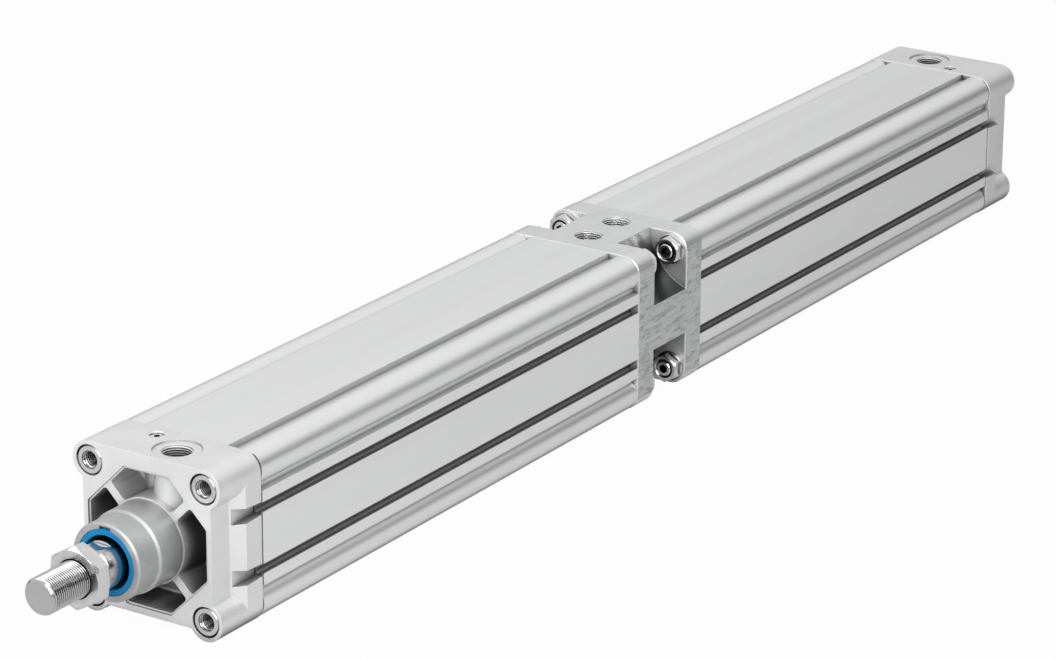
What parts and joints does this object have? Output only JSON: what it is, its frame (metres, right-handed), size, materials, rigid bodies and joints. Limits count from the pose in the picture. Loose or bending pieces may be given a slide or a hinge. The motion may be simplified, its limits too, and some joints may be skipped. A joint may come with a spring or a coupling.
{
  "type": "tandem pneumatic cylinder",
  "caption": "Tandem air cylinder: profile barrels in line on a common piston rod, with a middle block, ribbed end covers, sensor slots, cushioning screws and a threaded rod end.",
  "frame": {"origin": "middle of the front cover's mounting face, on the rod axis", "axes": "+X along the rod axis, the way the rod extends; +Z towards the air ports; +Y to the left, seen from behind"},
  "size_m": [0.944, 0.093, 0.093],
  "materials": {
    "cast_aluminium": "fine blasted casting",
    "anodised_profile": "satin anodised extrusion",
    "machined_aluminium": "milled",
    "zinc_steel": "bright zinc plated",
    "chromed_rod": "ground and hard chromed",
    "blue_seal": "satin polyurethane",
    "black_seal": "matt rubber",
    "bronze_bush": "sintered bearing bronze",
    "magnet": "plastic-bound magnet",
    "guide_plastic": "bearing plastic",
    "piston_aluminium": "turned"
  },
  "bodies": {
    "housing": {"front_cover": "cast_aluminium", "rear_cover": "cast_aluminium", "front_barrel": "anodised_profile", "rear_barrel": "anodised_profile", "middle_block": "machined_aluminium", "front_cover_screws": "zinc_steel", "rear_cover_screws": "zinc_steel", "front_plate_studs": "zinc_steel", "rear_plate_studs": "zinc_steel", "front_plate_nuts": "zinc_steel", "rear_plate_nuts": "zinc_steel", "rod_bearing_bush": "bronze_bush", "middle_bearing_bush": "bronze_bush", "rod_seal": "black_seal", "wiper_seal": "blue_seal", "middle_rod_seals": "black_seal", "middle_retaining_rings": "zinc_steel", "front_cover_seal_ring": "black_seal", "rear_cover_seal_ring": "black_seal", "middle_seal_rings": "black_seal", "front_cushion_seal": "black_seal", "rear_cushion_seal": "black_seal"},
    "piston_packings": {"front_piston_seals": "black_seal", "rear_piston_seals": "black_seal", "front_guide_rings": "guide_plastic", "rear_guide_rings": "guide_plastic"},
    "rod": {"piston_rod": "chromed_rod", "intermediate_rod": "chromed_rod", "front_piston_front_half": "piston_aluminium", "front_piston_rear_half": "piston_aluminium", "rear_piston_front_half": "piston_aluminium", "rear_piston_rear_half": "piston_aluminium", "front_piston_magnet": "magnet", "rear_piston_magnet": "magnet", "front_stub_seal_ring": "black_seal", "rear_stub_seal_ring": "black_seal", "front_cushion_sleeve": "piston_aluminium", "cushion_sleeve_clip": "zinc_steel", "rear_cushion_spear": "piston_aluminium"},
    "rod_nut": {"rod_nut": "zinc_steel"},
    "front_cushion_screw": {"front_cushion_screw": "zinc_steel", "front_cushion_screw_ring": "black_seal"},
    "rear_cushion_screw": {"rear_cushion_screw": "zinc_steel", "rear_cushion_screw_ring": "black_seal"}
  },
  "joints": [
    {"name": "rod_slide", "type": "slide", "parent": "housing", "child": "piston_packings", "axis": [1, 0, 0], "range_m": [0, 0.3]},
    {"name": "rod_turn", "type": "hinge", "parent": "piston_packings", "child": "rod", "pos_m": [0, 0, 0], "axis": [1, 0, 0], "continuous": true},
    {"name": "rod_nut_turn", "type": "hinge", "parent": "rod", "child": "rod_nut", "pos_m": [0.054, 0, 0], "axis": [1, 0, 0], "continuous": true},
    {"name": "front_cushion_screw_turn", "type": "hinge", "parent": "housing", "child": "front_cushion_screw", "pos_m": [-0.0265, -0.013, 0.04], "axis": [0, 0, 1], "range_deg": [0, 900]},
    {"name": "rear_cushion_screw_turn", "type": "hinge", "parent": "housing", "child": "rear_cushion_screw", "pos_m": [-0.8315, 0.013, 0.04], "axis": [0, 0, 1], "range_deg": [0, 900]}
  ]
}
